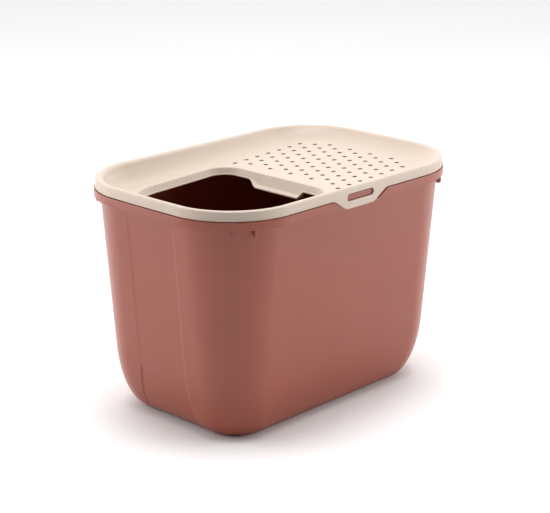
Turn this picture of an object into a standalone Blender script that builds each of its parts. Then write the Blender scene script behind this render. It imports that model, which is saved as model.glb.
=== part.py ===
"""Top-entry cat litter box: a tapered tub and a lift-off lid with a sunken, perforated deck.

Frame: origin at the centre of the base on the floor, +X along the box towards the perforated
end of the lid, +Y across it, +Z up. Metres throughout.
"""

import math

import bmesh
import bpy
from mathutils import Vector

# Driving dimensions, metres.
BOX_LENGTH = 0.585
BOX_WIDTH = 0.390
BOX_HEIGHT = 0.395
WALL = 0.0025

# Tub wall, as plan sizes (length, width, corner radius) at two heights.
WALL_TOP = (0.5606, 0.3643, 0.1067)
WALL_LOW = (0.5128, 0.3195, 0.0755)
WALL_TOP_Z = 0.3745
WALL_LOW_Z = 0.0977
BASE_INSET = (0.0403, 0.0327)
BASE_CORNER_RADIUS = 0.0467
BASE_CURVE_POWER = 2.2
BASE_CURVE_ANGLES = (9, 18, 34, 48, 62, 76)
BASE_RING_POWER = 1.25
SMALLEST_CORNER_RADIUS = 0.010
FLOOR_EDGE_RISE = 0.0006
FOOT_WIDTH = 0.016
FOOT_TAPER = 0.004
FOOT_HEIGHT = 0.006
ARCH_HEIGHT = 0.0057
ARCH_FADE = 0.9

# Rolled rim of the tub.
RIM_CORNER_RADIUS = 0.1190
END_BOW = 0.0060
RIM_LEDGE_Z = 0.3785
RIM_SKIRT_Z = 0.3645
RIM_SKIRT_THICKNESS = 0.0024
UPSTAND_INSET = 0.0058
UPSTAND_TOP_Z = 0.3860
SHELF_FALL = 0.0006
SIDE_STATION = 0.115

# Shallow panel and hand grip moulded in each end wall.
PANEL_HALF_WIDTH = 0.050
PANEL_DEPTH = 0.0006
PANEL_TOP_Z = 0.352
GRIP_TOP_Z = 0.090
PANEL_EDGE_HEIGHT = 0.003
GRIP_DEPTH = 0.0026
GRIP_FOOT_DEPTH = 0.0012
GRIP_FOOT_HALF_WIDTH = 0.064
EDGE_RUN = 0.0016

# Gussets under the rim, beside each corner.
GUSSET_ANGLES = (41.0, 61.0)
GUSSET_THICKNESS = 0.0030
GUSSET_REACH = 0.0083
GUSSET_DROP = 0.0125

# Lid.
LID_SHELL = 0.0024
LID_INSET = 0.0020
LID_SKIRT_Z = 0.3793
LID_CORNER_RADIUS = 0.1170
DECK_REFERENCE = (0.139, 0.3732)
DECK_SLOPE = 0.0343
DECK_BORDER = 0.046
DECK_THICKNESS = 0.0025
# Lip, outside to inside: inset from the skirt, drop from the lid's top.
LIP_OUTSIDE = ((0.0008, 0.0045), (0.0018, 0.0018), (0.0038, 0.0004), (0.0065, 0.0),
               (0.0100, 0.0006), (0.0122, 0.0022))
LIP_UNDERSIDE = ((0.0112, 0.0036), (0.0066, LID_SHELL), (0.0046, 0.0032), (0.0034, 0.0056))
LIP_INNER_DROP = 0.0040
# Dished border: inset from the skirt, share of the way down from the lip to the deck.
BORDER_TOP = ((0.0136, 0.0), (0.0170, 0.24), (0.0220, 0.52), (0.0280, 0.76),
              (0.0360, 0.93), (DECK_BORDER, 1.0))
BORDER_UNDERSIDE = ((DECK_BORDER + 0.0006, 1.0), (0.0366, 0.93), (0.0290, 0.76),
                    (0.0234, 0.52), (0.0188, 0.24), (0.0156, 0.02))

# Entry well, let into the low end of the deck.
WELL_X = (-0.234, 0.010)
WELL_HALF_WIDTH = 0.1275
WELL_CORNER_NEAR_STEP = 0.040
WELL_CORNER_FAR = 0.075
WELL_DEPTH = 0.010
WELL_DRAFT = 0.006
# Rounded edge of the well and its underside: inset from the well's edge, depth below the deck.
WELL_EDGE = ((-0.0016, 0.0), (0.0, 0.0006), (0.0014, 0.0026))
WELL_UNDERSIDE = ((-0.0008, 0.0034), (-0.0030, DECK_THICKNESS))
WELL_FOOT_LEDGE = 0.0012
WELL_WALL_FOOT = 0.0022
STEP_FOOT_X = 0.0015
STEP_NOSE_X = -0.0110
STEP_Z = 0.3502
STEP_FALL = 0.0006
STEP_REACH = 0.030
STEP_BACK_Y = (0.030, 0.061)
STEP_FRONT_Y = (-0.058, -0.066)
STEP_STATIONS = (-0.070, -0.062, -0.055, -0.010, 0.028, 0.038, 0.046, 0.053, 0.064)

# Perforations: rows along X, each half a pitch from the next.
HOLE_RADIUS = 0.0042
HOLE_PITCH = 0.0276
HOLE_ROW_PITCH = 0.0238
HOLE_FIRST_X = 0.1946
HOLES_IN_ROW = 7
HOLE_ROW_SHIFTS = (0, 1, 2, 1, 2, 1, 2, 1, 2, 1, 0)
HOLE_SIDES = 8
HOLE_TOOL_Z = (-0.006, 0.004)

# Latch tabs on the long sides of the lid, and the lugs they snap over.
TAB_TOP_HALF = 0.0635
TAB_FOOT_HALF = 0.0330
TAB_FOOT_Z = 0.3605
TAB_THICKNESS = 0.0023
TAB_CORNER = 0.006
TAB_GAP = 0.0004
SLOT_HALF = 0.0320
SLOT_Z = (0.3730, 0.3846)
LUG_HALF = 0.0310
LUG_Z = (0.3735, 0.3828)
LUG_STAND = 0.0014
NOTCH_CLEARANCE = 0.0012
NOTCH_INSET = 0.0060
NOTCH_EDGE_RUN = 0.0004
NOTCH_STEP = 0.0001
SLOT_TOOL_Y = (0.004, 0.006)

CORNER_STEPS = 10
RIGHT_ANGLE = math.pi / 2


def clear_scene():
    """Remove every object so that the file holds only this model."""
    for obj in list(bpy.data.objects):
        bpy.data.objects.remove(obj, do_unlink=True)


def make_material(name, colour, roughness):
    """Plain moulded plastic."""
    material = bpy.data.materials.new(name)
    material.use_nodes = True
    shader = material.node_tree.nodes["Principled BSDF"]
    shader.inputs["Base Color"].default_value = (*colour, 1.0)
    shader.inputs["Roughness"].default_value = roughness
    shader.inputs["Metallic"].default_value = 0.0
    material.diffuse_color = (*colour, 1.0)
    return material


def smooth(value, low, high):
    """0 below low, 1 above high and a smooth ramp between; low may be above high."""
    t = min(max((value - low) / (high - low), 0.0), 1.0)
    return t * t * (3.0 - 2.0 * t)


def mix(a, b, t):
    """Straight-line blend from a to b."""
    return a + (b - a) * t


def plan_loop(length, width, radius, bow=0.0, end_stations=(), side_stations=()):
    """Counter-clockwise rounded rectangle as (x, y) points, with bowed short ends.

    end_stations are the y values of extra points on the short ends, side_stations the
    x values of extra points on the long sides.
    """
    half_x = length / 2 - bow
    half_y = width / 2
    points = []

    def corner(sign_x, sign_y, start):
        for step in range(CORNER_STEPS + 1):
            angle = start + RIGHT_ANGLE * step / CORNER_STEPS
            points.append([
                sign_x * (half_x - radius) + radius * math.cos(angle),
                sign_y * (half_y - radius) + radius * math.sin(angle),
            ])

    corner(1, 1, 0.0)
    points.extend([x, half_y] for x in sorted(side_stations, reverse=True))
    corner(-1, 1, RIGHT_ANGLE)
    points.extend([-half_x, y] for y in sorted(end_stations, reverse=True))
    corner(-1, -1, 2 * RIGHT_ANGLE)
    points.extend([x, -half_y] for x in sorted(side_stations))
    corner(1, -1, 3 * RIGHT_ANGLE)
    points.extend([half_x, y] for y in sorted(end_stations))
    for point in points:
        point[0] += math.copysign(bow, point[0]) * (1 - (point[1] / half_y) ** 2)
    return [tuple(point) for point in points]


def loft(name, rings, closed_profile=False):
    """Skin closed rings of equal length; cap both ends unless the profile itself closes."""
    mesh = bpy.data.meshes.new(name)
    bm = bmesh.new()
    loops = [[bm.verts.new(point) for point in ring] for ring in rings]
    count = len(loops[0])
    pairs = list(zip(loops, loops[1:]))
    if closed_profile:
        pairs.append((loops[-1], loops[0]))
    for lower, upper in pairs:
        for k in range(count):
            after = (k + 1) % count
            bm.faces.new((lower[k], lower[after], upper[after], upper[k]))
    if not closed_profile:
        bm.faces.new(list(reversed(loops[0])))
        bm.faces.new(loops[-1])
    bmesh.ops.recalc_face_normals(bm, faces=bm.faces)
    bm.to_mesh(mesh)
    bm.free()
    obj = bpy.data.objects.new(name, mesh)
    bpy.context.scene.collection.objects.link(obj)
    return obj


def finish(obj, material, sharp_degrees=35.0):
    """Give a piece its material and smooth shading with crisp edges."""
    obj.data.materials.clear()
    obj.data.materials.append(material)
    obj.data.shade_smooth()
    obj.data.set_sharp_from_angle(angle=math.radians(sharp_degrees))


def prism(name, outline, low, high):
    """Extrude an outline in (x, z) from y = low to y = high."""
    mesh = bpy.data.meshes.new(name)
    bm = bmesh.new()
    ends = []
    for level in (low, high):
        ends.append([bm.verts.new((x, level, z)) for x, z in outline])
    count = len(outline)
    for k in range(count):
        after = (k + 1) % count
        bm.faces.new((ends[0][k], ends[0][after], ends[1][after], ends[1][k]))
    bm.faces.new(list(reversed(ends[0])))
    bm.faces.new(ends[1])
    bmesh.ops.recalc_face_normals(bm, faces=bm.faces)
    bm.to_mesh(mesh)
    bm.free()
    obj = bpy.data.objects.new(name, mesh)
    bpy.context.scene.collection.objects.link(obj)
    return obj


def as_tool(obj):
    """Mark an object as a Boolean tool, which is not a piece of the box."""
    obj.hide_render = True
    obj.display_type = "WIRE"
    return obj


def boolean(obj, tool, operation):
    """Join or cut with a tool object."""
    modifier = obj.modifiers.new(f"{operation.lower()}_{tool.name}", "BOOLEAN")
    modifier.object = tool
    modifier.operation = operation
    modifier.solver = "EXACT"
    modifier.use_self = False


def stadium(half_length, low, high, steps=6):
    """Slot with round ends in the (x, z) plane."""
    radius = (high - low) / 2
    middle = (high + low) / 2
    points = []
    for sign, start in ((1, -RIGHT_ANGLE), (-1, RIGHT_ANGLE)):
        for step in range(steps + 1):
            angle = start + math.pi * step / steps
            x = sign * (half_length - radius) + radius * math.cos(angle)
            points.append((x, middle + radius * math.sin(angle)))
    return points


def grip_half_width(z):
    """Half-width of the end panel, flaring into the hand grip below it."""
    below = min(max((GRIP_TOP_Z - z) / GRIP_TOP_Z, 0.0), 1.0)
    return mix(PANEL_HALF_WIDTH, GRIP_FOOT_HALF_WIDTH, below)


def end_recess(z, lower_edge=False):
    """How far the end panel or the hand grip is sunk at a height."""
    if z > PANEL_TOP_Z:
        return 0.0
    if z > GRIP_TOP_Z or (z == GRIP_TOP_Z and not lower_edge):
        return PANEL_DEPTH
    return mix(GRIP_DEPTH, GRIP_FOOT_DEPTH, (GRIP_TOP_Z - z) / GRIP_TOP_Z)


def curve_height(degrees):
    """Height of a ring on the curve under the wall, from its angle round the curve."""
    return WALL_LOW_Z * (1 - math.cos(math.radians(degrees)) ** BASE_RING_POWER)


def arch_lift(z):
    """How far the base is raised at its ends, which leaves an arch between the feet."""
    return max(0.0, ARCH_HEIGHT - ARCH_FADE * z)


def tab_half_width(z):
    """Half-width of the notch in the rim skirt that a latch tab hangs in."""
    share = (z - TAB_FOOT_Z) / (RIM_LEDGE_Z - TAB_FOOT_Z)
    return mix(TAB_FOOT_HALF, TAB_TOP_HALF, share) + NOTCH_CLEARANCE


def tub_ring(length, width, radius, z, bow=0.0, recess=0.0, notch=0.0, lift=0.0):
    """One closed ring of the tub at height z.

    recess sinks the ends between the grip's edges, notch sinks the long sides between the
    latch edges, and lift raises the ends, which leaves the arch between the feet.
    """
    grip = grip_half_width(z)
    tab = tab_half_width(max(z, RIM_SKIRT_Z))
    ends = (-grip - EDGE_RUN, -grip, -grip / 3, grip / 3, grip, grip + EDGE_RUN)
    beside = tab + NOTCH_EDGE_RUN
    sides = (-SIDE_STATION, -beside, -tab, -tab / 3, tab / 3, tab, beside, SIDE_STATION)
    ring = []
    plan = plan_loop(length, width, radius, bow, ends, sides)
    # The grip's edges run inside a corner where the base is narrow, so test by width there.
    for x, y in plan:
        in_grip = abs(y) <= grip + 1e-7 and abs(x) > length / 2 - bow - radius
        in_tab = abs(x) <= tab + 1e-7 and abs(y) > width / 2 - radius
        height = z
        if in_grip:
            x -= math.copysign(recess, x)
            height += lift
        if in_tab:
            y -= math.copysign(notch, y)
        ring.append((x, y, height))
    return ring


def wall_plan(z, inset=0.0):
    """Plan size of the tub's outer wall at a height, less an inset."""
    share = (z - WALL_LOW_Z) / (WALL_TOP_Z - WALL_LOW_Z)
    size = [mix(a, b, share) for a, b in zip(WALL_LOW, WALL_TOP)]
    if z < WALL_LOW_Z:
        drop = (WALL_LOW_Z - z) / WALL_LOW_Z
        curve = 1 - (1 - drop ** BASE_CURVE_POWER) ** (1 / BASE_CURVE_POWER)
        size = [
            size[0] - 2 * BASE_INSET[0] * curve,
            size[1] - 2 * BASE_INSET[1] * curve,
            mix(WALL_LOW[2], BASE_CORNER_RADIUS, curve),
        ]
    return shrink(size, inset)


def shrink(size, amount):
    """Plan size moved inwards all round, with a corner that stays round."""
    radius = max(size[2] - amount, SMALLEST_CORNER_RADIUS)
    return (size[0] - 2 * amount, size[1] - 2 * amount, radius)


def make_tub(material):
    """The tub: one moulding with its rolled rim, end grips, gussets, lugs and feet."""
    rings = []
    foot_outer = wall_plan(0.0)

    def add(size, z, **options):
        rings.append(tub_ring(*size, z, **options))

    # Underside: raised floor, then the foot rim.
    add(shrink(foot_outer, FOOT_WIDTH + FOOT_TAPER), FOOT_HEIGHT)
    add(shrink(foot_outer, FOOT_WIDTH), 0.0, lift=arch_lift(0.0))
    add(foot_outer, 0.0, lift=arch_lift(0.0), recess=end_recess(0.0))
    # Outer wall, closer together where it curves under.
    for angle in BASE_CURVE_ANGLES:
        z = curve_height(angle)
        add(wall_plan(z), z, recess=end_recess(z), lift=arch_lift(z))
    add(wall_plan(GRIP_TOP_Z), GRIP_TOP_Z, recess=end_recess(GRIP_TOP_Z, True))
    panel_low = GRIP_TOP_Z + PANEL_EDGE_HEIGHT
    panel_high = PANEL_TOP_Z - PANEL_EDGE_HEIGHT
    add(wall_plan(panel_low), panel_low, recess=PANEL_DEPTH)
    add(wall_plan(panel_high), panel_high, recess=PANEL_DEPTH)
    add(wall_plan(PANEL_TOP_Z), PANEL_TOP_Z)
    add(wall_plan(WALL_TOP_Z), WALL_TOP_Z)

    rim = (BOX_LENGTH, BOX_WIDTH, RIM_CORNER_RADIUS)
    bow = {"bow": END_BOW}
    inside = shrink(rim, RIM_SKIRT_THICKNESS)
    upstand = shrink(rim, UPSTAND_INSET)
    upstand_inner = shrink(rim, UPSTAND_INSET + WALL)
    notch = NOTCH_INSET
    add(inside, WALL_TOP_Z, notch=notch, **bow)
    add(inside, RIM_SKIRT_Z, notch=notch, **bow)
    add(rim, RIM_SKIRT_Z, notch=notch, **bow)
    add(rim, RIM_LEDGE_Z, notch=notch, **bow)
    add(upstand, RIM_LEDGE_Z, notch=notch - UPSTAND_INSET + NOTCH_STEP, **bow)
    add(upstand, UPSTAND_TOP_Z, notch=NOTCH_STEP, **bow)
    add(upstand_inner, UPSTAND_TOP_Z, **bow)
    add(upstand_inner, WALL_TOP_Z + WALL, **bow)
    # Inner wall, down to the floor and over the foot channel.
    add(wall_plan(WALL_TOP_Z, WALL), WALL_TOP_Z + WALL - SHELF_FALL)
    add(wall_plan(PANEL_TOP_Z, WALL), PANEL_TOP_Z)
    add(wall_plan(panel_high, WALL), panel_high, recess=PANEL_DEPTH)
    add(wall_plan(panel_low, WALL), panel_low, recess=PANEL_DEPTH)
    add(wall_plan(GRIP_TOP_Z, WALL), GRIP_TOP_Z, recess=end_recess(GRIP_TOP_Z, True))
    for angle in reversed(BASE_CURVE_ANGLES[2:]):
        z = curve_height(angle)
        add(wall_plan(z, WALL), z + WALL * 0.6, recess=end_recess(z))
    floor_top = FOOT_HEIGHT + WALL
    z = curve_height(BASE_CURVE_ANGLES[1])
    add(wall_plan(z, WALL), floor_top + FLOOR_EDGE_RISE, recess=end_recess(z))
    add(shrink(foot_outer, WALL), floor_top)

    tub = loft("tub", rings)
    boolean(tub, make_gussets(), "UNION")
    boolean(tub, make_lugs(), "UNION")
    finish(tub, material)
    return tub


def make_gussets():
    """Two upright gussets under the rim beside each corner, as one Boolean tool."""
    mesh = bpy.data.meshes.new("gusset_tool")
    bm = bmesh.new()
    radius_out = RIM_CORNER_RADIUS - RIM_SKIRT_THICKNESS / 2
    centre_x = BOX_LENGTH / 2 - END_BOW - RIM_CORNER_RADIUS
    centre_y = BOX_WIDTH / 2 - RIM_CORNER_RADIUS
    for sign_x in (-1, 1):
        for sign_y in (-1, 1):
            for degrees in GUSSET_ANGLES:
                angle = math.radians(degrees)
                outward = Vector((sign_x * math.cos(angle), sign_y * math.sin(angle), 0))
                across = Vector((-outward.y, outward.x, 0)) * GUSSET_THICKNESS / 2
                middle = Vector((sign_x * centre_x, sign_y * centre_y, 0))
                corners = []
                for reach in (radius_out - GUSSET_REACH, radius_out):
                    for side in (-1, 1):
                        corners.append(middle + outward * reach + across * side)
                low = RIM_SKIRT_Z - GUSSET_DROP
                high = WALL_TOP_Z + WALL / 2
                verts = [bm.verts.new((c.x, c.y, low)) for c in corners]
                verts += [bm.verts.new((c.x, c.y, high)) for c in corners]
                for face in ((0, 1, 3, 2), (4, 6, 7, 5), (0, 4, 5, 1), (2, 3, 7, 6),
                             (0, 2, 6, 4), (1, 5, 7, 3)):
                    bm.faces.new([verts[i] for i in face])
    bmesh.ops.recalc_face_normals(bm, faces=bm.faces)
    bm.to_mesh(mesh)
    bm.free()
    tool = bpy.data.objects.new("gusset_tool", mesh)
    bpy.context.scene.collection.objects.link(tool)
    return as_tool(tool)


def make_lugs():
    """The catch lugs for both latch tabs, as one Boolean tool."""
    face = BOX_WIDTH / 2 - NOTCH_INSET
    outline = stadium(LUG_HALF, *LUG_Z)
    front = prism("lug_tool", outline, -face - LUG_STAND, -face + WALL / 2)
    back = prism("lug_tool_back", outline, face - WALL / 2, face + LUG_STAND)
    join_into(front, [back])
    return as_tool(front)


def join_into(target, others):
    """Add the meshes of other objects to one object and remove them."""
    bm = bmesh.new()
    bm.from_mesh(target.data)
    for other in others:
        bm.from_mesh(other.data)
        bpy.data.objects.remove(other, do_unlink=True)
    bm.to_mesh(target.data)
    bm.free()


def deck_z(x):
    """Height of the deck's upper face, which falls gently towards the entry."""
    return DECK_REFERENCE[1] + DECK_SLOPE * (x - DECK_REFERENCE[0])


def lid_loop(inset):
    """Plan loop of the lid, inset from the outside of its skirt."""
    length = BOX_LENGTH - 2 * LID_INSET - 2 * inset
    width = BOX_WIDTH - 2 * LID_INSET - 2 * inset
    radius = max(LID_CORNER_RADIUS - inset, 0.02)
    ends = [0.016 * step for step in range(-4, 5)]
    sides = (-0.1, -0.035, 0.035, 0.1)
    return plan_loop(length, width, radius, END_BOW, ends, sides)


def lid_ring(inset, z):
    """Level ring of the lid at an inset."""
    return [(x, y, z) for x, y in lid_loop(inset)]


def border_ring(inset, lip_z, share, drop=0.0):
    """Ring on the dished border, a share of the way from the lip down to the deck."""
    return [(x, y, mix(lip_z, deck_z(x), share) - drop) for x, y in lid_loop(inset)]


def well_loop(inset):
    """Plan loop of the entry well, with one point for each point of a lid ring."""
    centre_x = (WELL_X[0] + WELL_X[1]) / 2
    half_x = (WELL_X[1] - WELL_X[0]) / 2 - inset
    half_y = WELL_HALF_WIDTH - inset
    points = []
    near = WELL_CORNER_NEAR_STEP - inset
    far = WELL_CORNER_FAR - inset

    def corner(sign_x, sign_y, start, radius):
        for step in range(CORNER_STEPS + 1):
            angle = start + RIGHT_ANGLE * step / CORNER_STEPS
            points.append((
                centre_x + sign_x * (half_x - radius) + radius * math.cos(angle),
                sign_y * (half_y - radius) + radius * math.sin(angle),
            ))

    corner(1, 1, 0.0, near)
    points.extend((x, half_y) for x in (-0.05, -0.08, -0.11, -0.14))
    corner(-1, 1, RIGHT_ANGLE, far)
    points.extend((centre_x - half_x, 0.012 * step) for step in range(4, -5, -1))
    corner(-1, -1, 2 * RIGHT_ANGLE, far)
    points.extend((x, -half_y) for x in (-0.14, -0.11, -0.08, -0.05))
    corner(1, -1, 3 * RIGHT_ANGLE, near)
    points.extend((centre_x + half_x, y) for y in STEP_STATIONS)
    return points


def well_ring(inset, depth):
    """Ring of the well wall at a depth below the deck."""
    return [(x, y, deck_z(x) - depth) for x, y in well_loop(inset)]


def step_share(x, y):
    """1 where the low step stands below the well's wall, fading to 0 at its two ends."""
    if x < WELL_X[1] - WELL_DRAFT - STEP_REACH:
        return 0.0
    back = 1 - smooth(y, *STEP_BACK_Y)
    front = 1 - smooth(-y, -STEP_FRONT_Y[0], -STEP_FRONT_Y[1])
    return back * front


def step_ring(base, x, z, drop=0.0):
    """Pull a wall ring to the step's foot or nose along the step, and lower the rest."""
    ring = []
    for px, py, pz in base:
        share = step_share(px, py)
        ring.append((mix(px, x, share), py, mix(pz - drop, z, share)))
    return ring


def make_lid(material):
    """The lid shell: skirt, rounded lip, dished border, sloping deck and entry well."""
    top = BOX_HEIGHT
    lip_z = top - LIP_INNER_DROP
    shell = DECK_THICKNESS
    rings = [lid_ring(0.0, LID_SKIRT_Z)]
    rings += [lid_ring(inset, top - drop) for inset, drop in LIP_OUTSIDE]
    rings += [border_ring(inset, lip_z, share) for inset, share in BORDER_TOP]
    rings += [well_ring(inset, depth) for inset, depth in WELL_EDGE]
    foot = well_ring(WELL_DRAFT, WELL_DEPTH)
    nose = well_ring(WELL_DRAFT + WELL_FOOT_LEDGE, WELL_DEPTH + STEP_FALL / 3)
    foot_under = well_ring(WELL_DRAFT - WELL_FOOT_LEDGE, WELL_DEPTH)
    rings += [
        step_ring(foot, STEP_FOOT_X, STEP_Z + STEP_FALL),
        step_ring(nose, STEP_NOSE_X, STEP_Z),
        step_ring(nose, STEP_NOSE_X, STEP_Z - shell, WELL_WALL_FOOT),
        step_ring(foot_under, STEP_FOOT_X + LID_SHELL, STEP_Z - shell, WELL_WALL_FOOT),
    ]
    rings += [well_ring(inset, depth) for inset, depth in WELL_UNDERSIDE]
    rings += [border_ring(inset, lip_z, share, shell) for inset, share in BORDER_UNDERSIDE]
    rings += [lid_ring(inset, top - drop) for inset, drop in LIP_UNDERSIDE]
    rings.append(lid_ring(LID_SHELL, LID_SKIRT_Z))
    lid = loft("lid", rings, closed_profile=True)
    boolean(lid, make_hole_tool(), "DIFFERENCE")
    boolean(lid, make_slot_tool(), "DIFFERENCE")
    finish(lid, material)
    return lid


def hole_centres():
    """Plan positions of the perforations."""
    middle = (len(HOLE_ROW_SHIFTS) - 1) / 2
    for row, shift in enumerate(HOLE_ROW_SHIFTS):
        y = (middle - row) * HOLE_ROW_PITCH
        for i in range(HOLES_IN_ROW):
            yield HOLE_FIRST_X + HOLE_PITCH * (shift / 2 - i), y


def make_hole_tool():
    """One upright prism for each perforation, as one Boolean tool."""
    mesh = bpy.data.meshes.new("hole_tool")
    bm = bmesh.new()
    for x, y in hole_centres():
        ends = []
        for z in (deck_z(x) + HOLE_TOOL_Z[0], deck_z(x) + HOLE_TOOL_Z[1]):
            ends.append([
                bm.verts.new((
                    x + HOLE_RADIUS * math.cos(2 * math.pi * k / HOLE_SIDES),
                    y + HOLE_RADIUS * math.sin(2 * math.pi * k / HOLE_SIDES),
                    z,
                ))
                for k in range(HOLE_SIDES)
            ])
        for k in range(HOLE_SIDES):
            after = (k + 1) % HOLE_SIDES
            bm.faces.new((ends[0][k], ends[0][after], ends[1][after], ends[1][k]))
        bm.faces.new(list(reversed(ends[0])))
        bm.faces.new(ends[1])
    bm.to_mesh(mesh)
    bm.free()
    tool = bpy.data.objects.new("hole_tool", mesh)
    bpy.context.scene.collection.objects.link(tool)
    return as_tool(tool)


def make_slot_tool():
    """The upper half of both latch slots, cut through the lid's skirt."""
    face = BOX_WIDTH / 2 - LID_INSET
    outline = stadium(SLOT_HALF, *SLOT_Z)
    outside, inside = SLOT_TOOL_Y
    front = prism("slot_tool", outline, -face - outside, -face + inside)
    back = prism("slot_tool_back", outline, face - inside, face + outside)
    join_into(front, [back])
    return as_tool(front)


def tab_outline():
    """Latch tab outline in (x, z): a rounded trapezoid around the lower half of the slot."""
    top = LID_SKIRT_Z - TAB_GAP
    lean = math.atan2(top - TAB_FOOT_Z, TAB_TOP_HALF - TAB_FOOT_HALF)
    points = []
    radius = (SLOT_Z[1] - SLOT_Z[0]) / 2
    middle = (SLOT_Z[0] + SLOT_Z[1]) / 2
    # Outer edge, left to right: round foot corners between the sloping sides.
    cut = TAB_CORNER
    left_start = (-TAB_FOOT_HALF - cut * math.cos(lean), TAB_FOOT_Z + cut * math.sin(lean))
    left_end = (-TAB_FOOT_HALF + cut, TAB_FOOT_Z)
    points.append((-TAB_TOP_HALF, top))
    steps = 5
    for step in range(steps + 1):
        t = step / steps
        a = [mix(p, q, t) for p, q in zip(left_start, (-TAB_FOOT_HALF, TAB_FOOT_Z))]
        b = [mix(p, q, t) for p, q in zip((-TAB_FOOT_HALF, TAB_FOOT_Z), left_end)]
        points.append(tuple(mix(p, q, t) for p, q in zip(a, b)))
    points += [(-x, z) for x, z in reversed(points)]
    # Inner edge, right to left: the lower part of the slot.
    spread = math.asin((top - middle) / radius)
    arc_steps = 8
    for step in range(arc_steps + 1):
        angle = mix(spread, -RIGHT_ANGLE, step / arc_steps)
        x = SLOT_HALF - radius + radius * math.cos(angle)
        points.append((x, middle + radius * math.sin(angle)))
    points += [(-x, z) for x, z in reversed(points[-arc_steps - 1:])]
    return points


def make_tab(name, side, material):
    """A latch tab hanging from the lid's skirt; side is -1 at the front and +1 at the back."""
    face = BOX_WIDTH / 2 - LID_INSET
    low, high = sorted((side * face, side * (face - TAB_THICKNESS)))
    hinge = Vector((0.0, side * (face - TAB_THICKNESS / 2), LID_SKIRT_Z))
    tab = prism(name, tab_outline(), low, high)
    for vertex in tab.data.vertices:
        vertex.co -= hinge
    tab.location = hinge
    finish(tab, material)
    return tab


def main():
    """Build the whole litter box."""
    clear_scene()
    terracotta = make_material("tub_plastic", (0.42, 0.145, 0.105), 0.38)
    cream = make_material("lid_plastic", (0.84, 0.74, 0.62), 0.42)
    make_tub(terracotta)
    make_lid(cream)
    make_tab("latch_tab_front", -1, cream)
    make_tab("latch_tab_back", 1, cream)


main()
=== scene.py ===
"""Looks of a top-entry cat litter box: terracotta tub, cream lid with a sunken perforated deck.

Metres, +Z up, +X towards the perforated end. The lid, the tub and the two latch tabs are built
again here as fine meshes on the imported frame's sizes, with rounded edges, and get moulded
plastic materials.
"""

import math

import bmesh
import bpy
from mathutils import Matrix, Vector


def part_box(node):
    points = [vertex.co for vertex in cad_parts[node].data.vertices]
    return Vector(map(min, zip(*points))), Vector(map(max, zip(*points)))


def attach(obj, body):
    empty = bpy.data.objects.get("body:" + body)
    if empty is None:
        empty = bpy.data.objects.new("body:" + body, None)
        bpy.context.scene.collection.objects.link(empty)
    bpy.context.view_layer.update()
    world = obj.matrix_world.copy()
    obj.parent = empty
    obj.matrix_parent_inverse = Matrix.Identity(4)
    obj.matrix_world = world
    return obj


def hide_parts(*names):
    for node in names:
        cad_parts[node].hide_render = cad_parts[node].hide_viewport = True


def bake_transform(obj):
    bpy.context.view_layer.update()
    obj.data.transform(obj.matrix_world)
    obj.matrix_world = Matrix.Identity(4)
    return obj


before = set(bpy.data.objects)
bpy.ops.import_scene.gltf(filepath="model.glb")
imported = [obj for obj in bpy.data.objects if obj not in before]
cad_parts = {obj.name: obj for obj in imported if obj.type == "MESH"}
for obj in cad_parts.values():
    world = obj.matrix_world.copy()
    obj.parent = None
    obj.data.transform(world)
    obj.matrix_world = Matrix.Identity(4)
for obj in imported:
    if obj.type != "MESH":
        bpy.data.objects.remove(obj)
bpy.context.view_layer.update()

LID_LOW, LID_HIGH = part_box("lid")
TUB_LOW, TUB_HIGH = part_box("tub")
TAB_LOW, TAB_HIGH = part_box("latch_tab_front")

LENGTH = round(TUB_HIGH.x - TUB_LOW.x, 3)
WIDTH = round(TUB_HIGH.y - TUB_LOW.y, 3)
TOP = LID_HIGH.z
RIGHT_ANGLE = math.pi / 2

# How finely the plan outlines are drawn.
CORNER_STEPS = 30
FILLET_STEPS = 4

# How far from an edge its rounding starts.
ROUND_FINE = 0.0004
ROUND_EDGE = 0.0006
ROUND_NOSE = 0.0007
ROUND_RIM = 0.0008
ROUND_LEDGE = 0.0009
ROUND_FOOT = 0.0010
ROUND_STEP = 0.0014
ROUND_SOFT = 0.0015
ROUND_CREASE = 0.0016
ROUND_WALL = 0.0030
LONGEST_ROUNDING = 0.47  # as a share of the side next to the edge

# Tub wall: plan length, plan width and corner radius at two heights, and its base curve.
WALL = 0.0025
WALL_TOP = (0.5606, 0.3643, 0.1067)
WALL_LOW = (0.5128, 0.3195, 0.0755)
WALL_TOP_Z = 0.3745
WALL_LOW_Z = 0.0977
BASE_INSET = (0.0403, 0.0327)
BASE_CORNER_RADIUS = 0.0467
BASE_CURVE_POWER = 2.2
BASE_RING_POWER = 1.25
BASE_CURVE_RINGS = 22
SMALLEST_CORNER_RADIUS = 0.010
FOOT_WIDTH = 0.016
FOOT_TAPER = 0.004
FOOT_HEIGHT = 0.006
UNDERSIDE_RUN = 0.020
FLOOR_RUN = 0.030
ARCH_HEIGHT = 0.0057
ARCH_FADE = 0.9

# Rolled rim of the tub.
RIM_CORNER_RADIUS = 0.1190
END_BOW = 0.0060
RIM_LEDGE_Z = 0.3781
RIM_SKIRT_Z = 0.3645
RIM_SKIRT_THICKNESS = 0.0024
UPSTAND_INSET = 0.0058
UPSTAND_TOP_Z = TUB_HIGH.z

# Panel and hand grip in each end wall.
PANEL_HALF_WIDTH = 0.050
PANEL_DEPTH = 0.0006
PANEL_TOP_Z = 0.352
PANEL_EDGE_HEIGHT = 0.003
BAND_Z = 0.360
GRIP_TOP_Z = 0.090
GRIP_DEPTH = 0.0020
GRIP_FOOT_DEPTH = 0.0012
GRIP_FOOT_HALF_WIDTH = 0.064
CREASE_BELOW = 0.0004
CREASE_ABOVE = 0.0026
EDGE_RUN = 0.0060

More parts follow.
